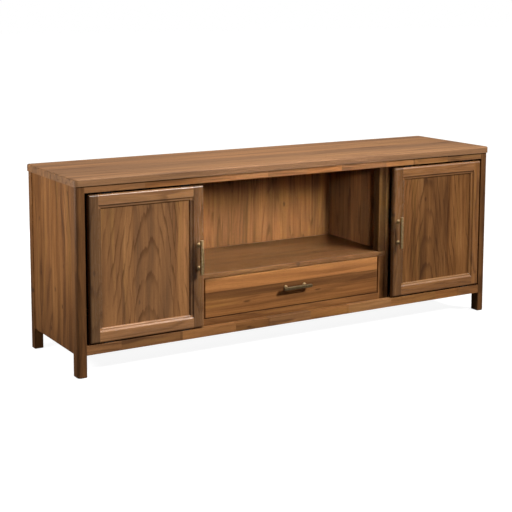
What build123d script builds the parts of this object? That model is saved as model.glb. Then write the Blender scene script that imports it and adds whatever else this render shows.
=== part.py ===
from build123d import *
import math
import os

# A long, low TV stand of walnut planks: a plank top on four legs, two framed doors that slide
# in grooves of the front rails, and a set-back middle with an open niche above a wide drawer.
# Millimetres. +X right, +Y back, +Z up. The origin is on the floor, under the middle of the
# whole outline, pulls included.

# Overall sizes
leg_span = 1922
leg_to_leg_depth = 480
stand_height = 730

# Top board
top_thickness = 26.5
top_overhang = 4
top_corner_radius = 16
top_edge_radius = 5

# Legs and their floor glides
leg_width = 35
leg_depth = 42
leg_corner_radius = 14
leg_foot_chamfer = 1.5
glide_height = 2
glide_radius = 11

# Rails between the legs
rail_thickness = 25
rail_setback = 1
top_rail_height = 25
bottom_rail_underside = 84
bottom_rail_height = 34.5
back_top_rail_height = 60
tenon_length = 14
tenon_thickness = 10
tenon_shoulder = 5

# Panels of the case
panel_thickness = 16
side_panel_inset = 3
tongue_length = 8
tongue_thickness = 8
bottom_panel_underside = 88
back_panel_thickness = 5
back_panel_inset = 5
cable_hole_radius = 25
cable_hole_height = 290
cable_hole_from_divider = 135

# Set-back middle section
middle_setback = 52
divider_inner = 451
stile_inner = 416
stile_depth = 36
niche_shelf_underside = 295.5
niche_shelf_thickness = 18
middle_rail_underside = 111
middle_rail_height = 25
middle_rail_thickness = 22
edge_radius = 2

# Adjustable shelf in each side compartment
shelf_underside = 390
shelf_gap = 2
shelf_front_gap = 80
shelf_back_gap = 2
pin_radius = 2.5
pin_in_panel = 10
pin_reach = 9
pin_edge_distance = 45

# Sliding doors
door_width = 467
door_thickness = 19
door_setback = 1.5
door_bottom = 122.5
door_top = 670
left_door_outer_gap = 16
right_door_outer_gap = 2
pull_stile_face = 44
outer_stile_face = 37
door_rail_face = 40
door_edge_radius = 8
panel_recess = 11
door_panel_thickness = 5
panel_groove_depth = 7
panel_groove_play = 0.1
panel_end_play = 1
door_tenon_length = 22
door_tenon_height = 26
door_tenon_thickness = 6

# Stepped moulding around the door panel: inset from the edge of the frame's face, depth below it
moulding = [(0, 1.2), (5, 5), (10.5, 5.8), (13.5, 9)]

# Grooves in the front rails, and the nylon runners and guides that the doors have in them
groove_width = 6.5
groove_depth = 10
runner_length = 36
runner_body_width = 8
runner_body_height = 8
runner_tongue = 5.5
runner_floor_gap = 0.5
runner_from_edge = 75
guide_above_door = 14

# Drawer
drawer_half_width = 411.5
drawer_bottom_edge = 139.5
drawer_top_edge = 292
drawer_front_thickness = 19
drawer_board = 12
drawer_box_depth = 365
drawer_box_low = 152
drawer_box_high = 268
drawer_base_thickness = 5
drawer_base_lift = 10
drawer_base_groove = 6
slide_width = 12.5
slide_height = 45
slide_sheet = 1.5
slide_lip = 9
slide_length = 350
slide_play = 1
slide_middle = 205
cage_height = 4
cage_width = 5
cage_length = 220

# Bar pulls
pull_length = 132
pull_post_spacing = 88.9
pull_bar_size = 12
pull_bar_chamfer = 1.2
pull_reach_to_axis = 24
post_radius = 4.5
post_base_radius = 9
post_base_height = 2.5
post_neck = 7
door_pull_height = 399
drawer_pull_height = 217

# Levels and planes that follow from the sizes above
pull_reach = pull_reach_to_axis + pull_bar_size / 2 - door_setback
overall_depth = pull_reach + leg_to_leg_depth + top_overhang
front = pull_reach - overall_depth / 2
back = front + leg_to_leg_depth
leg_outer = leg_span / 2
leg_inner = leg_outer - leg_width
under_top = stand_height - top_thickness
rail_front = front + rail_setback
rail_back = rail_front + rail_thickness
back_rail_back = back - back_panel_inset - back_panel_thickness
back_rail_front = back_rail_back - rail_thickness
side_outer = leg_outer - side_panel_inset
side_inner = side_outer - panel_thickness
floor_level = bottom_panel_underside + panel_thickness
middle_front = front + middle_setback
divider_outer = divider_inner + panel_thickness
niche_shelf_top = niche_shelf_underside + niche_shelf_thickness
door_front = front + door_setback
door_middle = door_front + door_thickness / 2
bottom_rail_top = bottom_rail_underside + bottom_rail_height
top_rail_underside = under_top - top_rail_height
nodes = {}


def slab(x_span, y_span, z_span):
    """Box between two X, two Y and two Z values."""
    size = [abs(span[1] - span[0]) for span in (x_span, y_span, z_span)]
    middle = [(span[0] + span[1]) / 2 for span in (x_span, y_span, z_span)]
    return Pos(*middle) * Box(*size)


def mirrored(solid):
    """The same solid on the other side of the stand."""
    return mirror(solid, about=Plane.YZ)


def rod(start, direction, radius, length):
    """Cylinder that starts at a point and runs along a direction."""
    return Plane(origin=start, z_dir=direction) * Cylinder(
        radius, length, align=(Align.CENTER, Align.CENTER, Align.MIN)
    )


def front_rectangle(x_span, z_span, y):
    """Upright rectangle that faces the front, at a given Y."""
    middle = ((x_span[0] + x_span[1]) / 2, y, (z_span[0] + z_span[1]) / 2)
    return Plane(origin=middle, x_dir=(1, 0, 0), z_dir=(0, -1, 0)) * Rectangle(
        x_span[1] - x_span[0], z_span[1] - z_span[0]
    )


def drawn_in(span, inset):
    """Span that is shorter by the same distance at both ends."""
    return (span[0] + inset, span[1] - inset)


def rounded_front(solid, radius):
    """Solid whose foremost face has its four edges rounded."""
    return fillet(solid.faces().sort_by(Axis.Y)[0].edges(), radius)


def make_top():
    """Plank top with rounded corners and eased edges."""
    outline = RectangleRounded(
        leg_span + 2 * top_overhang, leg_to_leg_depth + 2 * top_overhang, top_corner_radius
    )
    board = Pos(0, (front + back) / 2, under_top) * extrude(outline, top_thickness)
    upper_edges = board.faces().sort_by(Axis.Z)[-1].edges()
    return fillet(upper_edges, top_edge_radius)


def rail_tenon(y_span, z_span):
    """Tenon at the right end of a rail."""
    middle = (y_span[0] + y_span[1]) / 2
    return slab(
        (leg_inner, leg_inner + tenon_length),
        (middle - tenon_thickness / 2, middle + tenon_thickness / 2),
        (z_span[0] + tenon_shoulder, z_span[1] - tenon_shoulder),
    )


def make_rail(y_span, z_span):
    """Rail between two legs with a tenon at each end."""
    tenon = rail_tenon(y_span, z_span)
    body = slab((-leg_inner, leg_inner), y_span, z_span)
    return body + tenon + mirrored(tenon)


def make_leg(y_span, outer_corner_y):
    """Right-hand leg with its outer corner rounded and its foot eased."""
    outline = Pos((leg_inner + leg_outer) / 2, (y_span[0] + y_span[1]) / 2) * Rectangle(
        leg_width, leg_depth
    )
    corner = outline.vertices().sort_by_distance((leg_outer, outer_corner_y, 0))[0]
    outline = fillet(corner, leg_corner_radius)
    post = Pos(0, 0, glide_height) * extrude(outline, under_top - glide_height)
    return chamfer(post.faces().sort_by(Axis.Z)[0].edges(), leg_foot_chamfer)


def make_glides():
    """Nylon glide under each leg."""
    glides = []
    for x in (-1, 1):
        for y in (front + leg_depth / 2, back - leg_depth / 2):
            foot = (x * (leg_inner + leg_outer) / 2, y, 0)
            glides.append(rod(foot, (0, 0, 1), glide_radius, glide_height))
    return glides


def make_pull(middle, face_y, upright):
    """Square bar and two turned posts of a pull that stands on an upright face at face_y."""
    bar = Box(pull_length, pull_bar_size, pull_bar_size)
    bar = chamfer(bar.edges(), pull_bar_chamfer)
    if upright:
        bar = Rot(0, 90, 0) * bar
    bar = Pos(middle[0], face_y - pull_reach_to_axis, middle[1]) * bar
    post_profile = make_face(
        Polyline(
            (0, 0),
            (post_base_radius, 0),
            (post_base_radius, post_base_height),
            (post_radius, post_neck),
            (post_radius, pull_reach_to_axis - pull_bar_size / 2),
            (0, pull_reach_to_axis - pull_bar_size / 2),
            close=True,
        )
    )
    # The profile is turned about Y and then faces the front.
    post = Rot(180, 0, 0) * revolve(post_profile, Axis.Y)
    posts = []
    for shift in (-pull_post_spacing / 2, pull_post_spacing / 2):
        along = (0, shift) if upright else (shift, 0)
        posts.append(Pos(middle[0] + along[0], face_y, middle[1] + along[1]) * post)
    return bar, posts


def make_shoes(x_left, edge, tip):
    """Two nylon shoes let into a door's upper or lower edge, with a tongue in the rail's groove."""
    into_door = math.copysign(runner_body_height, edge - tip)
    shoes = []
    for x in (x_left + runner_from_edge, x_left + door_width - runner_from_edge):
        x_span = (x - runner_length / 2, x + runner_length / 2)
        body_y = (door_middle - runner_body_width / 2, door_middle + runner_body_width / 2)
        tongue_y = (door_middle - runner_tongue / 2, door_middle + runner_tongue / 2)
        body = slab(x_span, body_y, (edge, edge + into_door))
        tongue = slab(x_span, tongue_y, (edge, tip))
        tip_edges = tongue.faces().sort_by_distance((x, door_middle, tip))[0].edges().filter_by(Axis.Y)
        shoes.append(body + fillet(tip_edges, runner_tongue / 2))
    return shoes


def make_door(side, x_left):
    """All pieces of one door. The pull is on the stile towards the middle of the stand."""
    x_right = x_left + door_width
    y_span = (door_front, door_front + door_thickness)
    frame = rounded_front(slab((x_left, x_right), y_span, (door_bottom, door_top)), door_edge_radius)

    # The opening steps down a moulding, one sloping course after the other, and then goes
    # straight through.
    if side == "left":
        face_x = (x_left + outer_stile_face, x_right - pull_stile_face)
        pull_x = x_right - pull_stile_face / 2
    else:
        face_x = (x_left + pull_stile_face, x_right - outer_stile_face)
        pull_x = x_left + pull_stile_face / 2
    face_z = drawn_in((door_bottom, door_top), door_rail_face)
    first_step = moulding[0][1]
    frame -= slab(face_x, (door_front - first_step, door_front + first_step), face_z)
    for course in zip(moulding, moulding[1:]):
        frame -= loft(
            [
                front_rectangle(drawn_in(face_x, inset), drawn_in(face_z, inset), door_front + depth)
                for inset, depth in course
            ]
        )
    moulding_width = moulding[-1][0]
    inner_x = drawn_in(face_x, moulding_width)
    inner_z = drawn_in(face_z, moulding_width)
    frame -= slab(inner_x, y_span, inner_z)

    panel_front = door_front + panel_recess
    panel_back = panel_front + door_panel_thickness
    groove_x = drawn_in(inner_x, -panel_groove_depth)
    groove_z = drawn_in(inner_z, -panel_groove_depth)
    frame -= slab(groove_x, (panel_front, panel_back + panel_groove_play), groove_z)
    panel = slab(
        drawn_in(groove_x, panel_end_play), (panel_front, panel_back), drawn_in(groove_z, panel_end_play)
    )

    # Rails run between the stiles and are tenoned into them.
    rails = {}
    for level, z_span, tenon_z in (
        ("top", (inner_z[1], door_top), face_z[1] + door_rail_face / 2),
        ("bottom", (door_bottom, inner_z[0]), face_z[0] - door_rail_face / 2),
    ):
        tenon = slab(
            drawn_in(face_x, -door_tenon_length),
            (door_middle - door_tenon_thickness / 2, door_middle + door_tenon_thickness / 2),
            (tenon_z - door_tenon_height / 2, tenon_z + door_tenon_height / 2),
        )
        rails[level] = (frame & slab(face_x, y_span, z_span)) + (frame & tenon)
    stiles = {
        "left": frame & slab((x_left, inner_x[0]), y_span, (door_bottom, door_top)),
        "right": frame & slab((inner_x[1], x_right), y_span, (door_bottom, door_top)),
    }
    for edge in stiles:
        stiles[edge] = stiles[edge] - rails["top"] - rails["bottom"]

    # The runners and the guides are let into the rails.
    runners = make_shoes(x_left, door_bottom, bottom_rail_top - groove_depth + runner_floor_gap)
    guides = make_shoes(x_left, door_top, door_top + guide_above_door)
    for runner, guide in zip(runners, guides):
        rails["bottom"] -= runner
        rails["top"] -= guide
    bar, posts = make_pull((pull_x, door_pull_height), door_front, True)

    nodes[f"door_{side}_stile_left"] = [stiles["left"]]
    nodes[f"door_{side}_stile_right"] = [stiles["right"]]
    nodes[f"door_{side}_rail_top"] = [rails["top"]]
    nodes[f"door_{side}_rail_bottom"] = [rails["bottom"]]
    nodes[f"door_{side}_panel"] = [panel]
    nodes[f"door_{side}_pull_bar"] = [bar]
    nodes[f"door_{side}_pull_posts"] = posts
    nodes[f"door_{side}_runners"] = runners
    nodes[f"door_{side}_guides"] = guides


def make_channel(x_open, x_web, half_height, y_span):
    """Folded steel channel of a drawer slide: a web, two flanges and two turned-in lips."""
    inward = 1 if x_open > x_web else -1
    low = slide_middle - half_height
    high = slide_middle + half_height
    channel = slab((x_web, x_web + inward * slide_sheet), y_span, (low, high))
    channel += slab((x_web, x_open), y_span, (low, low + slide_sheet))
    channel += slab((x_web, x_open), y_span, (high - slide_sheet, high))
    channel += slab((x_open - inward * slide_sheet, x_open), y_span, (low, low + slide_lip))
    channel += slab((x_open - inward * slide_sheet, x_open), y_span, (high - slide_lip, high))
    return channel


def make_drawer():
    """Drawer front on a five-piece box, with a steel slide on each side."""
    front_board = slab(
        (-drawer_half_width, drawer_half_width),
        (middle_front, middle_front + drawer_front_thickness),
        (drawer_bottom_edge, drawer_top_edge),
    )
    front_board = rounded_front(front_board, edge_radius)
    box_front = middle_front + drawer_front_thickness
    box_back = box_front + drawer_box_depth
    side_outside = stile_inner - slide_width
    side_inside = side_outside - drawer_board
    z_span = (drawer_box_low, drawer_box_high)
    base_low = drawer_box_low + drawer_base_lift
    base = slab(
        (-side_inside - drawer_base_groove, side_inside + drawer_base_groove),
        (box_front + drawer_base_groove, box_back - drawer_base_groove),
        (base_low, base_low + drawer_base_thickness),
    )
    side = slab((side_inside, side_outside), (box_front, box_back), z_span) - base
    inner_front = slab((-side_inside, side_inside), (box_front, box_front + drawer_board), z_span) - base
    inner_back = slab((-side_inside, side_inside), (box_back - drawer_board, box_back), z_span) - base

    bar, posts = make_pull((0, drawer_pull_height), middle_front, False)

    # The outer channel is screwed to the case, the inner one to the drawer side through the
    # mouth of the outer one, and ball cages run between their flanges.
    slide_y = (box_front + slide_play, box_front + slide_play + slide_length)
    outer = make_channel(side_outside + slide_play, stile_inner, slide_height / 2, slide_y)
    inner_half = slide_height / 2 - slide_sheet - cage_height
    inner_web = side_outside + slide_play + slide_sheet + slide_play
    inner_open = stile_inner - slide_sheet - slide_play
    inner = make_channel(inner_open, inner_web, inner_half, slide_y)
    pad_half = slide_height / 2 - slide_lip - slide_play
    inner += slab(
        (side_outside, inner_web), slide_y, (slide_middle - pad_half, slide_middle + pad_half)
    )
    cage_middle = (inner_open + inner_web) / 2
    cages = []
    for level in (-1, 1):
        cage_z = (slide_middle + level * inner_half, slide_middle + level * (inner_half + cage_height))
        cage = slab(
            (cage_middle - cage_width / 2, cage_middle + cage_width / 2),
            (slide_y[0], slide_y[0] + cage_length),
            cage_z,
        )
        cages += [cage, mirrored(cage)]
    cleat = slab(
        (stile_inner, divider_inner),
        (middle_front + stile_depth, back_rail_front),
        (slide_middle - slide_height / 2, slide_middle + slide_height / 2),
    )

    nodes["drawer_front"] = [front_board]
    nodes["drawer_side_left"] = [mirrored(side)]
    nodes["drawer_side_right"] = [side]
    nodes["drawer_box_front"] = [inner_front]
    nodes["drawer_box_back"] = [inner_back]
    nodes["drawer_base"] = [base]
    nodes["drawer_pull_bar"] = [bar]
    nodes["drawer_pull_posts"] = posts
    nodes["drawer_slides_outer"] = [outer, mirrored(outer)]
    nodes["drawer_slides_inner"] = [inner, mirrored(inner)]
    nodes["drawer_slide_cages"] = cages
    nodes["drawer_cleats"] = [cleat, mirrored(cleat)]


def make_case():
    """Everything that stands still: legs, rails, panels, niche, shelves and backs."""
    front_rail_y = (rail_front, rail_back)
    back_rail_y = (back_rail_front, back_rail_back)
    top_z = (top_rail_underside, under_top)
    bottom_z = (bottom_rail_underside, bottom_rail_top)
    back_top_z = (under_top - back_top_rail_height, under_top)
    groove_y = (door_middle - groove_width / 2, door_middle + groove_width / 2)
    rail_x = (-leg_inner, leg_inner)
    top_rail = make_rail(front_rail_y, top_z)
    top_rail -= slab(rail_x, groove_y, (top_rail_underside, top_rail_underside + groove_depth))
    bottom_rail = make_rail(front_rail_y, bottom_z)
    bottom_rail -= slab(rail_x, groove_y, (bottom_rail_top - groove_depth, bottom_rail_top))
    back_top_rail = make_rail(back_rail_y, back_top_z)
    back_bottom_rail = make_rail(back_rail_y, bottom_z)

    # The side panel stands between the legs, with a tongue in a groove of each.
    leg_front_y = (front, front + leg_depth)
    leg_back_y = (back - leg_depth, back)
    side_z = (bottom_rail_underside, under_top)
    side_panel = slab((side_inner, side_outer), (leg_front_y[1], leg_back_y[0]), side_z)
    tongue_middle = (side_inner + side_outer) / 2
    side_panel += slab(
        (tongue_middle - tongue_thickness / 2, tongue_middle + tongue_thickness / 2),
        (leg_front_y[1] - tongue_length, leg_back_y[0] + tongue_length),
        side_z,
    )

    legs = {
        "front": make_leg(leg_front_y, front) - top_rail - bottom_rail - side_panel,
        "back": make_leg(leg_back_y, back) - back_top_rail - back_bottom_rail - side_panel,
    }

    bottom_panel = slab(
        (-side_inner, side_inner), (rail_back, back_rail_front), (bottom_panel_underside, floor_level)
    )
    for leg in legs.values():
        leg_box = leg.bounding_box()
        notch = slab(
            (leg_inner, leg_outer), (leg_box.min.Y, leg_box.max.Y), (bottom_panel_underside, floor_level)
        )
        bottom_panel = bottom_panel - notch - mirrored(notch)

    divider = slab((divider_inner, divider_outer), (middle_front, back_rail_back), (floor_level, under_top))
    divider -= back_bottom_rail
    divider -= back_top_rail
    niche_shelf = slab(
        (-divider_inner, divider_inner),
        (middle_front, back_rail_back),
        (niche_shelf_underside, niche_shelf_top),
    )
    niche_shelf = rounded_front(niche_shelf, edge_radius)
    stile_y = (middle_front, middle_front + stile_depth)
    niche_stile = slab((stile_inner, divider_inner), stile_y, (niche_shelf_top, under_top))
    drawer_stile = slab((stile_inner, divider_inner), stile_y, (floor_level, niche_shelf_underside))
    middle_rail = slab(
        (-stile_inner, stile_inner),
        (middle_front, middle_front + middle_rail_thickness),
        (middle_rail_underside, middle_rail_underside + middle_rail_height),
    )

    back_y = (back_rail_back, back_rail_back + back_panel_thickness)
    back_z = (bottom_rail_underside, under_top)
    back_joint = (divider_inner + divider_outer) / 2
    side_back = slab((back_joint, leg_inner), back_y, back_z)
    hole_start = (divider_outer + cable_hole_from_divider, back_y[0], cable_hole_height)
    side_back -= rod(hole_start, (0, 1, 0), cable_hole_radius, back_panel_thickness)
    middle_back = slab((-back_joint, back_joint), back_y, back_z)

    shelf_y = (middle_front + shelf_front_gap, leg_back_y[0] - shelf_back_gap)
    shelf = slab(
        (divider_outer + shelf_gap, side_inner - shelf_gap),
        shelf_y,
        (shelf_underside, shelf_underside + panel_thickness),
    )
    pins = []
    for y in (shelf_y[0] + pin_edge_distance, shelf_y[1] - pin_edge_distance):
        for wall, inward in ((divider_outer, 1), (side_inner, -1)):
            start = (wall - inward * pin_in_panel, y, shelf_underside - pin_radius)
            pins.append(rod(start, (inward, 0, 0), pin_radius, pin_in_panel + pin_reach))
    for pin in pins:
        divider -= pin
        side_panel -= pin

    nodes["top_board"] = [make_top()]
    for position, leg in legs.items():
        nodes[f"leg_{position}_left"] = [mirrored(leg)]
        nodes[f"leg_{position}_right"] = [leg]
    nodes["leg_glides"] = make_glides()
    nodes["rail_front_top"] = [top_rail]
    nodes["rail_front_bottom"] = [bottom_rail]
    nodes["rail_back_top"] = [back_top_rail]
    nodes["rail_back_bottom"] = [back_bottom_rail]
    nodes["bottom_panel"] = [bottom_panel]
    nodes["niche_shelf"] = [niche_shelf]
    nodes["middle_rail"] = [middle_rail]
    nodes["back_panel_middle"] = [middle_back]
    nodes["shelf_pins"] = pins + [mirrored(pin) for pin in pins]
    for name, piece in (
        ("side_panel", side_panel),
        ("divider", divider),
        ("niche_stile", niche_stile),
        ("drawer_stile", drawer_stile),
        ("back_panel", side_back),
        ("shelf", shelf),
    ):
        nodes[f"{name}_left"] = [mirrored(piece)]
        nodes[f"{name}_right"] = [piece]


make_case()
make_drawer()
make_door("left", -leg_inner + left_door_outer_gap)
make_door("right", leg_inner - right_door_outer_gap - door_width)

os.makedirs("parts", exist_ok=True)
for node_name, pieces in nodes.items():
    solids = [solid for piece in pieces for solid in piece.solids()]
    export_step(Compound(children=solids) if len(solids) > 1 else solids[0], f"parts/{node_name}.step")
print(len(nodes), "nodes")
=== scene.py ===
import math
import random

import bpy
from mathutils import Matrix, Vector

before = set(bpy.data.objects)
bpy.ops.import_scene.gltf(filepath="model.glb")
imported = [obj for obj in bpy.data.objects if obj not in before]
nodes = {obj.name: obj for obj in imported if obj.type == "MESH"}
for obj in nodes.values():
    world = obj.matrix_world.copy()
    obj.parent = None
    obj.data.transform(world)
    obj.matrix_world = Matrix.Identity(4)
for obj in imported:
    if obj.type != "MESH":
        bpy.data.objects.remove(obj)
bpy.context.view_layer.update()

# A walnut TV stand: procedural wood on every board, antique brass pulls, a white studio floor.

# Camera that matches the photograph, in metres and radians
CAMERA_PLACE = Vector((-2.55399, -4.12424, 1.36444))
CAMERA_YAW = 0.54051
CAMERA_PITCH = 0.12894
CAMERA_ROLL = 0.00213
CAMERA_LENS_MM = 83.83
CAMERA_SENSOR_MM = 36.0
CAMERA_SHIFT_Y = -0.2

# Key light from the upper right of the front
KEY_DIRECTION = Vector((0.49, -0.66, 0.57))
KEY_STRENGTH = 3.1
KEY_ANGLE = math.radians(5.0)

# Soft lamps: place, point that they face, width and height in metres, watts, beam in degrees.
# The left and rear lamps hang below the top's level, so that the top doesn't mirror them.
FULL_BEAM = 180.0
GRID_BEAM = 7.0
FINE_GRID_BEAM = 4.0
NICHE_LAMP = ((0.86, 0.25), 0.41, GRID_BEAM)
LAMPS = {
    "left": ((-1.68, 0.0, 0.60), (-0.96, 0.0, 0.60), (0.5, 0.2), 7.8, FULL_BEAM),
    "overhead": ((-0.2, -0.45, 2.7), (-0.1, -0.1, 0.73), (0.7, 0.7), 46.0, FULL_BEAM),
    "near_key": ((1.1, -2.0, 2.3), (-0.1, -0.2, 0.5), (0.4, 0.4), 42.0, FULL_BEAM),
    "rear": ((0.0, 2.6, 0.60), (0.0, 0.26, 0.42), (2.2, 0.2), 34.0, FULL_BEAM),
    "niche_low": ((0.0, -2.905, 1.174), (0.0, 0.2, 0.40), *NICHE_LAMP),
    "niche_mid": ((0.0, -2.835, 1.385), (0.0, 0.2, 0.37), *NICHE_LAMP),
    "niche_high": ((0.0, -2.746, 1.590), (0.0, 0.2, 0.34), *NICHE_LAMP),
    "niche_wall": ((-0.862, -2.813, 1.244), (0.44, 0.02, 0.45), (0.12, 0.3), 0.11, FINE_GRID_BEAM),
}

# Surroundings
SKY_STRENGTH = 0.12
SKY_IN_REFLECTIONS = 0.25
FLOOR_SEEN = 0.25
FLOOR_BOUNCE = 0.04
FLOOR_GLOW = 0.90
FLOOR_IN_REFLECTIONS = 0.12
FLOOR_SIZE = 80.0

# Axis numbers used for the run of the grain
X, Y, Z = 0, 1, 2

# Walnut colours from the darkest late wood to the palest sapwood streak, linear light
WALNUT_STOPS = (
    (0.00, (0.028, 0.010, 0.003)),
    (0.25, (0.095, 0.034, 0.009)),
    (0.50, (0.215, 0.083, 0.023)),
    (0.75, (0.335, 0.140, 0.042)),
    (1.00, (0.470, 0.222, 0.076)),
)
LATE_WOOD = (0.062, 0.023, 0.008, 1.0)
PORE = (0.030, 0.013, 0.006, 1.0)
GREY_BROWN = (0.170, 0.098, 0.052, 1.0)
GOLDEN = (0.400, 0.190, 0.046, 1.0)

# Noises of the wood: scale per metre along the grain, the same across it, detail
SLOW_BENDS = (1.7, 6.0, 1.0)
QUICK_BENDS = (8.0, 16.0, 1.0)
PATCHES = (2.4, 15.0, 3.0)
BANDS = (1.1, 42.0, 2.0)
STREAKS = (4.0, 155.0, 3.0)
FINE_LINES = (14.0, 560.0, 2.0)
PORE_MARKS = (80.0, 1700.0, 1.0)
RING_FIELD = (1.3, 8.0, 1.0)
LATE_BREAKS = (4.0, 20.0, 2.0)
GOLDEN_STREAKS = (1.6, 26.0, 2.0)
NOISE_ROUGHNESS = 0.55
SEED_STEP = 37.0

# How far the grain wanders sideways, in metres
SLOW_BEND_REACH = 0.050
QUICK_BEND_REACH = 0.012

# Levels between which a mark fades in or out
PORE_EDGE = (0.10, 0.22)
KNOT_EDGE = (0.02, 0.07)
KNOT_CHANCE = (0.66, 0.80)
LATE_START = (0.62, 0.90)
LATE_END = (0.93, 1.0)
LATE_BREAK_EDGE = (-0.16, 0.10)
GOLDEN_EDGE = (0.03, 0.20)

# Knots: cells per metre along and across the grain, and how ragged their rims are
KNOT_CELLS = (5.0, 11.0)
KNOT_RAGGEDNESS = 0.06

# Growth rings
RINGS_PER_METRE = 8.0
FIELD_RINGS = 9.0
FIGURED_FIELD_RINGS = 1.3
BAND_RINGS = 0.6
STREAK_RINGS = 0.4
SHOULDER_ROUNDING = 0.012
FIGURE_SOCKETS = ("Figure", "Centre", "Slope", "Shoulder")
PLAIN_FIGURE = (0.0, 0.0, 0.0, 0.0)

# Share of each mark in the colour
MIDDLE_VALUE = 0.56
PATCH_SHARE = 0.85
BAND_SHARE = 0.75
STREAK_SHARE = 0.50
FINE_SHARE = 0.35
GOLDEN_SHARE = 0.40
KNOT_SHARE = 0.75
LATE_SHARE = 0.52
PORE_SHARE = 0.45
SEAM_SHARE = 0.6

# Surface of the wood
WOOD_ROUGHNESS = 0.50
FINE_ROUGHNESS = 0.14
PORE_ROUGHNESS = 0.15
FINE_HEIGHT = 0.5
BUMP_STRENGTH = 0.25
BUMP_DISTANCE = 0.0004
SEAM_HALF_WIDTH = 0.0012
EDGE_ROUNDING = 0.0015
EDGE_SAMPLES = 4

# Tones pass through a colour ramp divided by this, so that they stay below 1
TONE_RANGE = 2.0

# Brass
PATINA_SCALE = 260.0
PATINA_DETAIL = 4.0
PATINA_EDGE = (-0.10, 0.16)
PATINA_ROUGHNESS = 0.12
BRASS_ROUGHNESS = 0.42

# Nylon and steel
SPECKLE_DETAIL = 3.0
SPECKLE_EDGE = (-0.2, 0.2)
SPECKLE_ROUGHNESS = 0.15
SPECKLE_SPECULAR = 0.2


def add(tree, kind, **settings):
    """New node in a tree, with its settings."""
    made = tree.nodes.new(kind)
    for key, value in settings.items():
        setattr(made, key, value)
    return made


def feed(tree, socket, value):
    """Gives a socket a number, a tuple or another node's output."""
    if isinstance(value, bpy.types.NodeSocket):
        tree.links.new(value, socket)
    else:
        socket.default_value = value


def calc(tree, operation, *values, clamp=False):
    """Math node on numbers or outputs."""
    made = add(tree, "ShaderNodeMath", operation=operation, use_clamp=clamp)
    for socket, value in zip(made.inputs, values):
        feed(tree, socket, value)
    return made.outputs[0]


def vector(tree, x, y, z):
    """Vector from three numbers or outputs."""
    made = add(tree, "ShaderNodeCombineXYZ")
    for socket, value in zip(made.inputs, (x, y, z)):
        feed(tree, socket, value)
    return made.outputs[0]


def noise(tree, place, detail):
    """Noise around 0, from about -0.5 to 0.5."""
    made = add(tree, "ShaderNodeTexNoise")
    made.inputs["Scale"].default_value = 1.0
    made.inputs["Detail"].default_value = detail
    made.inputs["Roughness"].default_value = NOISE_ROUGHNESS
    feed(tree, made.inputs["Vector"], place)
    return calc(tree, "SUBTRACT", made.outputs["Fac"], 0.5)


def smooth(tree, value, low, high):
    """0 below low, 1 above high, eased between them."""
    made = add(tree, "ShaderNodeMapRange", interpolation_type="SMOOTHSTEP")
    made.inputs["From Min"].default_value = low
    made.inputs["From Max"].default_value = high
    feed(tree, made.inputs["Value"], value)
    return made.outputs["Result"]


def ramp(tree, value, stops, interpolation="LINEAR"):
    """Colour ramp through (position, colour) stops."""
    made = add(tree, "ShaderNodeValToRGB")
    made.color_ramp.interpolation = interpolation
    elements = made.color_ramp.elements
    while len(elements) < len(stops):
        elements.new(1.0)
    while len(elements) > len(stops):
        elements.remove(elements[-1])
    for element, (position, colour) in zip(elements, stops):
        element.position = position
        element.color = (*colour, 1.0)
    feed(tree, made.inputs["Fac"], value)
    return made.outputs["Color"]


def mix(tree, factor, a, b, blend="MIX"):
    """Mix of two colours."""
    made = add(tree, "ShaderNodeMix", data_type="RGBA", blend_type=blend)
    feed(tree, made.inputs["Factor"], factor)
    feed(tree, made.inputs["A"], a)
    feed(tree, made.inputs["B"], b)
    return made.outputs["Result"]


def new_material(name):
    """Empty material: itself, its tree and its shader."""
    material = bpy.data.materials.new(name)
    material.use_nodes = True
    return material, material.node_tree, material.node_tree.nodes["Principled BSDF"]


def object_place(tree):
    """Place on the piece in metres, along the stand's own axes."""
    return add(tree, "ShaderNodeTexCoord").outputs["Object"]


def speckle(tree, scale, detail, low, high):
    """Fine noise over the piece, eased between low and high."""
    scaled = add(tree, "ShaderNodeVectorMath", operation="SCALE")
    feed(tree, scaled.inputs[0], object_place(tree))
    scaled.inputs["Scale"].default_value = scale
    return smooth(tree, noise(tree, scaled.outputs[0], detail), low, high)


def dress(material, *names):
    """Gives CAD nodes a material."""
    for name in names:
        nodes[name].data.materials.clear()
        nodes[name].data.materials.append(material)


def knot_mask(tree, along, across, offset, rim):
    """1 inside small knots, in a few of the cells that the board is divided into."""
    cells = add(tree, "ShaderNodeTexVoronoi", voronoi_dimensions="2D")
    cells.inputs["Scale"].default_value = 1.0
    along_cells, across_cells = KNOT_CELLS
    place = vector(
        tree,
        calc(tree, "MULTIPLY_ADD", along, along_cells, offset),
        calc(tree, "MULTIPLY_ADD", across, across_cells, offset),
        0.0,
    )
    feed(tree, cells.inputs["Vector"], place)
    chance = add(tree, "ShaderNodeSeparateColor")
    feed(tree, chance.inputs[0], cells.outputs["Color"])
    ragged = calc(tree, "MULTIPLY_ADD", rim, KNOT_RAGGEDNESS, cells.outputs["Distance"])
    inside = calc(tree, "SUBTRACT", 1.0, smooth(tree, ragged, *KNOT_EDGE))
    return calc(tree, "MULTIPLY", inside, smooth(tree, chance.outputs[0], *KNOT_CHANCE))


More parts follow.
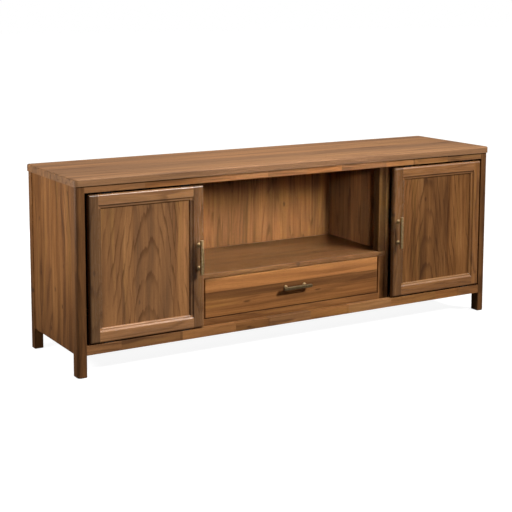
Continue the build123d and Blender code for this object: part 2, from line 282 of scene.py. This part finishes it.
def arch_rings(tree, along, across, given):
    """Growth rings passed on the way along a board whose rings arch.

    An arch is nearly flat between its shoulders and falls off steeply outside them.
    """
    from_centre = calc(tree, "ABSOLUTE", calc(tree, "SUBTRACT", across, given["Centre"]))
    outside = calc(tree, "SUBTRACT", from_centre, given["Shoulder"])
    bend = calc(tree, "SQRT", calc(tree, "MULTIPLY_ADD", outside, outside, SHOULDER_ROUNDING ** 2))
    fall = calc(tree, "MULTIPLY", calc(tree, "ADD", outside, bend), 0.5)
    climb = calc(tree, "MULTIPLY_ADD", fall, given["Slope"], along)
    return calc(tree, "MULTIPLY", calc(tree, "MULTIPLY", climb, RINGS_PER_METRE), given["Figure"])


def make_walnut_group():
    """Group that turns a place in a board into walnut colour, roughness and height."""
    tree = bpy.data.node_groups.new("walnut", "ShaderNodeTree")
    for name in ("Along", "Across", "Depth", "Seed", "Tone", "Grey", "Contrast", *FIGURE_SOCKETS):
        tree.interface.new_socket(name, in_out="INPUT", socket_type="NodeSocketFloat")
    tree.interface.new_socket("Color", in_out="OUTPUT", socket_type="NodeSocketColor")
    tree.interface.new_socket("Roughness", in_out="OUTPUT", socket_type="NodeSocketFloat")
    tree.interface.new_socket("Height", in_out="OUTPUT", socket_type="NodeSocketFloat")
    given = add(tree, "NodeGroupInput").outputs
    result = add(tree, "NodeGroupOutput").inputs
    along = given["Along"]
    offset = calc(tree, "MULTIPLY", given["Seed"], SEED_STEP)

    def grain(kind, across):
        """Noise of one kind, drawn out along the grain."""
        along_scale, across_scale, detail = kind
        place = vector(
            tree,
            calc(tree, "MULTIPLY_ADD", along, along_scale, offset),
            calc(tree, "MULTIPLY_ADD", across, across_scale, offset),
            calc(tree, "MULTIPLY", given["Depth"], across_scale),
        )
        return noise(tree, place, detail)

    # The grain wanders sideways, so nothing runs dead straight.
    wander = calc(tree, "MULTIPLY", grain(SLOW_BENDS, given["Across"]), SLOW_BEND_REACH)
    wander = calc(tree, "MULTIPLY_ADD", grain(QUICK_BENDS, given["Across"]), QUICK_BEND_REACH, wander)
    across = calc(tree, "ADD", wander, given["Across"])
    patches = grain(PATCHES, across)
    bands = grain(BANDS, across)
    streaks = grain(STREAKS, across)
    fine = grain(FINE_LINES, across)
    pores = smooth(tree, grain(PORE_MARKS, across), *PORE_EDGE)
    knots = knot_mask(tree, along, across, offset, streaks)

    # Growth rings cut at a slant: contours of a slow field, with arches on a figured board.
    arches = arch_rings(tree, along, across, given)
    slow = calc(tree, "MULTIPLY_ADD", given["Figure"], FIGURED_FIELD_RINGS - FIELD_RINGS, FIELD_RINGS)
    ring = calc(tree, "MULTIPLY_ADD", grain(RING_FIELD, given["Across"]), slow, arches)
    ring = calc(tree, "MULTIPLY_ADD", bands, BAND_RINGS, ring)
    turn = calc(tree, "FRACT", calc(tree, "MULTIPLY_ADD", streaks, STREAK_RINGS, ring))
    late = calc(tree, "SUBTRACT", smooth(tree, turn, *LATE_START), smooth(tree, turn, *LATE_END))
    late = calc(tree, "MULTIPLY", late, smooth(tree, grain(LATE_BREAKS, across), *LATE_BREAK_EDGE))
    late = calc(tree, "MULTIPLY", late, calc(tree, "MULTIPLY", given["Contrast"], LATE_SHARE))

    mottle = calc(tree, "MULTIPLY", patches, PATCH_SHARE)
    for mark, share in ((bands, BAND_SHARE), (streaks, STREAK_SHARE), (fine, FINE_SHARE)):
        mottle = calc(tree, "MULTIPLY_ADD", mark, share, mottle)
    value = calc(tree, "MULTIPLY_ADD", mottle, given["Contrast"], MIDDLE_VALUE, clamp=True)
    golden = smooth(tree, grain(GOLDEN_STREAKS, across), *GOLDEN_EDGE)
    tone = vector(tree, given["Tone"], given["Tone"], given["Tone"])
    colour = ramp(tree, value, WALNUT_STOPS)
    colour = mix(tree, calc(tree, "MULTIPLY", golden, GOLDEN_SHARE), colour, GOLDEN)
    colour = mix(tree, calc(tree, "MULTIPLY", knots, KNOT_SHARE), colour, LATE_WOOD)
    colour = mix(tree, given["Grey"], colour, GREY_BROWN)
    colour = mix(tree, late, colour, LATE_WOOD)
    colour = mix(tree, 1.0, colour, tone, "MULTIPLY")
    colour = mix(tree, calc(tree, "MULTIPLY", pores, PORE_SHARE), colour, PORE)
    feed(tree, result["Color"], colour)

    rough = calc(tree, "MULTIPLY_ADD", pores, PORE_ROUGHNESS, WOOD_ROUGHNESS)
    feed(tree, result["Roughness"], calc(tree, "MULTIPLY_ADD", fine, FINE_ROUGHNESS, rough))
    feed(tree, result["Height"], calc(tree, "SUBTRACT", calc(tree, "MULTIPLY", fine, FINE_HEIGHT), pores))
    return tree


walnut_group = make_walnut_group()


def walnut(
    name, grain, across, start, rows, figure=PLAIN_FIGURE, contrast=1.0, gloss=0.0, specular=0.1,
    lay=None, shrink=1.0,
):
    """Walnut boards side by side from start: each row is (width in metres, tone, grey, seed).

    The figure says how much the rings arch, where their centre is, how steep they are at the sides
    and how far their shoulders are from the centre.
    The boards lie side by side across the grain, or along the axis that lay gives.
    A shrink below 1 draws the figure out along the grain.
    """
    material, tree, shader = new_material(name)
    split = add(tree, "ShaderNodeSeparateXYZ")
    feed(tree, split.inputs[0], object_place(tree))
    depth = ({X, Y, Z} - {grain, across}).pop()

    total = sum(row[0] for row in rows)
    share = calc(tree, "SUBTRACT", split.outputs[across if lay is None else lay], start)
    share = calc(tree, "DIVIDE", share, total, clamp=True)
    board_stops = []
    seam_stops = [(0.0, (0.0, 0.0, 0.0))]
    reached = 0.0
    for width, tone, grey, seed in rows:
        edge = reached / total
        board_stops.append((edge, (tone / TONE_RANGE, grey, seed)))
        if reached:
            for shift, dark in ((-SEAM_HALF_WIDTH, 0.0), (0.0, 1.0), (SEAM_HALF_WIDTH, 0.0)):
                seam_stops.append((edge + shift / total, (dark, dark, dark)))
        reached += width
    board = add(tree, "ShaderNodeSeparateColor")
    feed(tree, board.inputs[0], ramp(tree, share, board_stops, "CONSTANT"))

    wood = add(tree, "ShaderNodeGroup", node_tree=walnut_group)
    feed(tree, wood.inputs["Along"], calc(tree, "MULTIPLY", split.outputs[grain], shrink))
    feed(tree, wood.inputs["Across"], split.outputs[across])
    feed(tree, wood.inputs["Depth"], split.outputs[depth])
    feed(tree, wood.inputs["Tone"], calc(tree, "MULTIPLY", board.outputs[0], TONE_RANGE))
    feed(tree, wood.inputs["Grey"], board.outputs[1])
    feed(tree, wood.inputs["Seed"], board.outputs[2])
    for socket, value in zip(("Contrast", *FIGURE_SOCKETS), (contrast, *figure)):
        wood.inputs[socket].default_value = value
    colour = wood.outputs["Color"]
    if len(rows) > 1:
        seam = calc(tree, "MULTIPLY", ramp(tree, share, seam_stops), SEAM_SHARE)
        colour = mix(tree, seam, colour, LATE_WOOD)
    feed(tree, shader.inputs["Base Color"], colour)
    feed(tree, shader.inputs["Roughness"], calc(tree, "SUBTRACT", wood.outputs["Roughness"], gloss))
    shader.inputs["Specular IOR Level"].default_value = specular
    rounded = add(tree, "ShaderNodeBevel", samples=EDGE_SAMPLES)
    rounded.inputs["Radius"].default_value = EDGE_ROUNDING
    bump = add(tree, "ShaderNodeBump")
    bump.inputs["Strength"].default_value = BUMP_STRENGTH
    bump.inputs["Distance"].default_value = BUMP_DISTANCE
    feed(tree, bump.inputs["Height"], wood.outputs["Height"])
    feed(tree, bump.inputs["Normal"], rounded.outputs["Normal"])
    feed(tree, shader.inputs["Normal"], bump.outputs["Normal"])
    return material


# One board that is wider than any piece
WIDE_BOARD = 4.0
WIDE_START = -WIDE_BOARD / 2.0

# Finger-jointed blocks: least and greatest width against each other, and share of the rail's grey
BLOCK_WIDTHS = (0.6, 1.5)
BLOCK_GREYS = (0.0, 2.0)


def single(tone, grey, seed):
    """Rows of one wide board."""
    return [(WIDE_BOARD, tone, grey, seed)]


def blocks(length, tones, grey, seed):
    """Rows of short blocks of uneven width, as in a finger-jointed rail, with one tone for each block."""
    draw = random.Random(seed)
    widths = [draw.uniform(*BLOCK_WIDTHS) for _ in tones]
    scale = length / sum(widths)
    return [
        (width * scale, tone, grey * draw.uniform(*BLOCK_GREYS), draw.random())
        for width, tone in zip(widths, tones)
    ]


# Satin lacquer of the door frames
DOOR_SHINE = {"gloss": 0.24, "specular": 0.42, "contrast": 0.9}


def dress_single_boards(boards, grain, across, seed_step):
    """Gives each named board its own walnut, from its tone and grey."""
    for index, (name, (tone, grey)) in enumerate(boards.items()):
        rows = single(tone, grey, (seed_step * index) % 1.0)
        shine = DOOR_SHINE if name.startswith("door") else {}
        dress(walnut("walnut_" + name, grain, across, WIDE_START, rows, **shine), name)


# Top: planks from front to back, with a seam half way in depth
TOP_START = -0.232
# The top's planks are mixed far towards grey-brown: partly the wood's own colour, partly painted sheen.
top_rows = [
    (0.118, 1.08, 0.58, 0.30), (0.119, 0.96, 0.60, 0.06),
    (0.130, 1.08, 0.52, 0.08), (0.121, 1.06, 0.54, 0.84),
]
dress(
    walnut("walnut_top", X, Y, TOP_START, top_rows, contrast=1.1, gloss=-0.10, specular=0.22, shrink=0.4),
    "top_board",
)

# Sides: upright planks from front to back
SIDE_START = -0.20
side_rows = [
    (0.060, 0.72, 0.05, 0.31), (0.085, 0.78, 0.08, 0.67), (0.075, 0.68, 0.00, 0.15),
    (0.085, 0.80, 0.10, 0.87), (0.110, 0.70, 0.05, 0.44),
]
for side in ("left", "right"):
    dress(walnut("walnut_side_" + side, Z, Y, SIDE_START, side_rows), "side_panel_" + side)

# Backs: upright planks from left to right behind the niche, one board behind each side compartment
NICHE_BACK_START = -0.47
back_rows = [
    (0.110, 0.95, 0.30, 0.12), (0.095, 0.88, 0.30, 0.52), (0.120, 0.98, 0.25, 0.71),
    (0.090, 0.88, 0.33, 0.33), (0.105, 0.96, 0.28, 0.93), (0.100, 0.90, 0.30, 0.24),
    (0.110, 0.95, 0.28, 0.61), (0.100, 1.00, 0.25, 0.47), (0.110, 0.98, 0.30, 0.83),
]
dress(walnut("walnut_niche_back", Z, X, NICHE_BACK_START, back_rows), "back_panel_middle")
dress(
    walnut("walnut_backs", Z, X, WIDE_START, single(tone=0.85, grey=0.1, seed=0.36)),
    "back_panel_left", "back_panel_right",
)

# Door panels: three upright planks from left to right, with arched figure
PANEL_CONTRAST = 1.1
LEFT_PANEL_START = -0.885
LEFT_PANEL_FIGURE = (1.0, -0.675, 5.5, 0.034)
RIGHT_PANEL_START = 0.505
RIGHT_PANEL_FIGURE = (1.0, 0.640, 6.0, 0.026)
left_panel_rows = [(0.155, 1.00, 0.36, 0.28), (0.160, 0.98, 0.42, 0.91), (0.115, 1.00, 0.30, 0.44)]
right_panel_rows = [(0.091, 0.66, 0.04, 0.62), (0.156, 0.56, 0.08, 0.17), (0.133, 0.62, 0.00, 0.53)]
panels = {
    "door_left_panel": (LEFT_PANEL_START, left_panel_rows, LEFT_PANEL_FIGURE),
    "door_right_panel": (RIGHT_PANEL_START, right_panel_rows, RIGHT_PANEL_FIGURE),
}
for name, placing in panels.items():
    dress(walnut("walnut_" + name, Z, X, *placing, contrast=PANEL_CONTRAST), name)

# Upright boards: tone, grey
UPRIGHT_SEED_STEP = 0.17
uprights = {
    "door_left_stile_left": (0.58, 0.55),
    "door_left_stile_right": (0.72, 0.42),
    "door_right_stile_left": (0.50, 0.25),
    "door_right_stile_right": (0.74, 0.05),
    "leg_front_left": (0.62, 0.15),
    "leg_front_right": (0.45, 0.10),
    "leg_back_left": (0.70, 0.10),
    "leg_back_right": (0.70, 0.10),
    "niche_stile_left": (0.85, 0.10),
    # niche_stile_right is darkened to 0.32 as painted shade: the shadow that the right door casts on it.
    "niche_stile_right": (0.32, 0.15),
    "drawer_stile_left": (0.85, 0.10),
    "drawer_stile_right": (0.90, 0.10),
}
dress_single_boards(uprights, Z, X, UPRIGHT_SEED_STEP)

# Level boards: tone, grey
LEVEL_SEED_STEP = 0.23
levels = {
    "door_left_rail_top": (1.34, 0.50),
    "door_left_rail_bottom": (1.30, 0.45),
    "door_right_rail_top": (1.05, 0.25),
    "door_right_rail_bottom": (0.90, 0.20),
    "rail_back_top": (0.90, 0.10),
    "rail_back_bottom": (0.90, 0.10),
    "middle_rail": (0.95, 0.10),
}
dress_single_boards(levels, X, Z, LEVEL_SEED_STEP)

# Finger-jointed front rails: tones of their blocks from left to right. The top rail's blocks run lighter
# at the left end and darker towards the right: painted light that evens out how the lamps fall along it.
RAIL_LENGTH = 1.852
RAIL_GREY = 0.20
rail_tones = {
    "rail_front_top": (1.30, 1.40, 1.30, 1.20, 1.10, 1.22, 1.12, 1.15, 1.02, 0.94),
    "rail_front_bottom": (1.02, 0.88, 0.98, 0.80, 0.92, 0.86, 1.00, 0.84, 0.96, 0.90),
}
for seed, (name, tones) in enumerate(rail_tones.items()):
    rows = blocks(RAIL_LENGTH, tones, RAIL_GREY, seed)
    dress(walnut("walnut_" + name, X, Z, -RAIL_LENGTH / 2.0, rows, contrast=0.9, lay=X), name)

# Drawer front: planks from the bottom up
DRAWER_START = 0.128
drawer_rows = [(0.078, 1.00, 0.05, 0.45), (0.032, 0.74, 0.10, 0.65), (0.060, 1.22, 0.05, 0.79)]
dress(
    walnut("walnut_drawer_front", X, Z, DRAWER_START, drawer_rows, contrast=0.75, shrink=0.6),
    "drawer_front",
)

# Dividers and shelves: planks from front to back
INSIDE_START = -0.18
# The dividers are set lighter and greyer than the shelves: painted light on the niche's right wall.
divider_rows = [
    (0.070, 0.95, 0.35, 0.40), (0.110, 0.85, 0.45, 0.75),
    (0.075, 1.10, 0.35, 0.20), (0.180, 0.80, 0.45, 0.55),
]
dress(walnut("walnut_dividers", Z, Y, INSIDE_START, divider_rows), "divider_left", "divider_right")
shelf_rows = [(0.110, 0.80, 0.38, 0.70), (0.120, 0.74, 0.40, 0.33), (0.200, 0.77, 0.34, 0.08)]
dress(
    walnut("walnut_shelves", X, Y, INSIDE_START, shelf_rows, contrast=0.55, gloss=0.20),
    "niche_shelf", "shelf_left", "shelf_right", "bottom_panel",
)

# Pale wood of the drawer's box and of the cleats under its slides
pale_rows = single(tone=1.6, grey=0.3, seed=0.5)
for name in nodes:
    if name.startswith(("drawer_side", "drawer_box", "drawer_base", "drawer_cleats")):
        dress(walnut("pale_" + name, X, Z, WIDE_START, pale_rows), name)


def make_brass(name, bright, dark):
    """Antique brass: dark patina in patches of a fine noise, rubbed bright elsewhere."""
    material, tree, shader = new_material(name)
    patina = speckle(tree, PATINA_SCALE, PATINA_DETAIL, *PATINA_EDGE)
    rough = calc(tree, "MULTIPLY_ADD", patina, PATINA_ROUGHNESS, BRASS_ROUGHNESS)
    feed(tree, shader.inputs["Base Color"], mix(tree, patina, (*bright, 1.0), (*dark, 1.0)))
    feed(tree, shader.inputs["Roughness"], rough)
    shader.inputs["Metallic"].default_value = 1.0
    return material


def make_speckled(name, colour, dark_colour, scale, metallic, roughness):
    """Plain nylon or steel with a fine mottle in colour and roughness."""
    material, tree, shader = new_material(name)
    mottle = speckle(tree, scale, SPECKLE_DETAIL, *SPECKLE_EDGE)
    rough = calc(tree, "MULTIPLY_ADD", mottle, SPECKLE_ROUGHNESS, roughness)
    feed(tree, shader.inputs["Base Color"], mix(tree, mottle, (*colour, 1.0), (*dark_colour, 1.0)))
    feed(tree, shader.inputs["Roughness"], rough)
    shader.inputs["Metallic"].default_value = metallic
    shader.inputs["Specular IOR Level"].default_value = SPECKLE_SPECULAR
    return material


brass = make_brass("antique_brass", (0.460, 0.325, 0.160), (0.240, 0.160, 0.070))
# The drawer pull's bar gets a darker copy of the same brass: painted shade.
shaded_brass = make_brass("shaded_brass", (0.200, 0.140, 0.072), (0.120, 0.080, 0.038))
nylon = make_speckled(
    "black_nylon", (0.020, 0.018, 0.016), (0.010, 0.009, 0.008), scale=400.0, metallic=0.0, roughness=0.45
)
steel = make_speckled(
    "zinc_steel", (0.60, 0.60, 0.62), (0.46, 0.47, 0.49), scale=300.0, metallic=1.0, roughness=0.30
)
for name in nodes:
    if name == "drawer_pull_bar":
        dress(shaded_brass, name)
    elif "pull" in name:
        dress(brass, name)
    elif name.endswith(("runners", "guides", "glides")):
        dress(nylon, name)
    elif name == "shelf_pins" or name.startswith("drawer_slide"):
        dress(steel, name)

# Floor
bpy.ops.mesh.primitive_plane_add(size=FLOOR_SIZE)
floor = bpy.context.object
floor.name = "floor"
floor_material, floor_tree, floor_shader = new_material("floor")
floor_tree.nodes.remove(floor_shader)
floor_path = add(floor_tree, "ShaderNodeLightPath").outputs
floor_seen = floor_path["Is Camera Ray"]
floor_grey = calc(floor_tree, "MULTIPLY_ADD", floor_seen, FLOOR_SEEN - FLOOR_BOUNCE, FLOOR_BOUNCE)
floor_diffuse = add(floor_tree, "ShaderNodeBsdfDiffuse")
feed(floor_tree, floor_diffuse.inputs["Color"], vector(floor_tree, floor_grey, floor_grey, floor_grey))
floor_glow = add(floor_tree, "ShaderNodeEmission")
floor_mirrored = calc(floor_tree, "MULTIPLY", floor_path["Is Glossy Ray"], FLOOR_IN_REFLECTIONS)
floor_strength = calc(floor_tree, "MULTIPLY_ADD", floor_seen, FLOOR_GLOW, floor_mirrored)
feed(floor_tree, floor_glow.inputs["Strength"], floor_strength)
floor_sum = add(floor_tree, "ShaderNodeAddShader")
feed(floor_tree, floor_sum.inputs[0], floor_diffuse.outputs[0])
feed(floor_tree, floor_sum.inputs[1], floor_glow.outputs[0])
feed(floor_tree, floor_tree.nodes["Material Output"].inputs["Surface"], floor_sum.outputs[0])
floor.data.materials.append(floor_material)

# Sky
scene = bpy.context.scene
world = bpy.data.worlds.new("studio")
scene.world = world
world.use_nodes = True
sky = world.node_tree
background = sky.nodes["Background"]
background.inputs["Color"].default_value = (1.0, 1.0, 1.0, 1.0)
light_path = add(sky, "ShaderNodeLightPath").outputs
sky_strength = calc(
    sky, "MULTIPLY_ADD", light_path["Is Glossy Ray"], SKY_IN_REFLECTIONS - SKY_STRENGTH, SKY_STRENGTH
)
feed(sky, background.inputs["Strength"], calc(sky, "MAXIMUM", light_path["Is Camera Ray"], sky_strength))


def hang_lamp(name, kind, place, target):
    """New lamp at a place, turned towards a target."""
    lamp = bpy.data.objects.new(name, bpy.data.lights.new(name, kind))
    scene.collection.objects.link(lamp)
    lamp.location = place
    lamp.rotation_euler = (Vector(target) - Vector(place)).to_track_quat("-Z", "Y").to_euler()
    return lamp.data


def hang_soft_lamp(name, place, target, size, power, beam):
    """Rectangular soft lamp."""
    soft = hang_lamp(name, "AREA", place, target)
    soft.shape = "RECTANGLE"
    soft.size, soft.size_y = size
    soft.energy = power
    soft.spread = math.radians(beam)


key = hang_lamp("key", "SUN", KEY_DIRECTION, (0.0, 0.0, 0.0))
key.energy = KEY_STRENGTH
key.angle = KEY_ANGLE
for lamp_name, settings in LAMPS.items():
    hang_soft_lamp(lamp_name, *settings)

# Camera
camera = bpy.data.objects.new("camera", bpy.data.cameras.new("camera"))
scene.collection.objects.link(camera)
camera.data.lens = CAMERA_LENS_MM
camera.data.sensor_width = CAMERA_SENSOR_MM
camera.data.shift_y = CAMERA_SHIFT_Y
ahead = Vector((
    math.sin(CAMERA_YAW) * math.cos(CAMERA_PITCH),
    math.cos(CAMERA_YAW) * math.cos(CAMERA_PITCH),
    -math.sin(CAMERA_PITCH),
))
right = Vector((math.cos(CAMERA_YAW), -math.sin(CAMERA_YAW), 0.0))
up = right.cross(ahead)
rolled_right = right * math.cos(CAMERA_ROLL) + up * math.sin(CAMERA_ROLL)
rolled_up = up * math.cos(CAMERA_ROLL) - right * math.sin(CAMERA_ROLL)
turned = Matrix((rolled_right, rolled_up, -ahead)).transposed()
camera.matrix_world = Matrix.Translation(CAMERA_PLACE) @ turned.to_4x4()
scene.camera = camera
scene.view_settings.view_transform = "Standard"
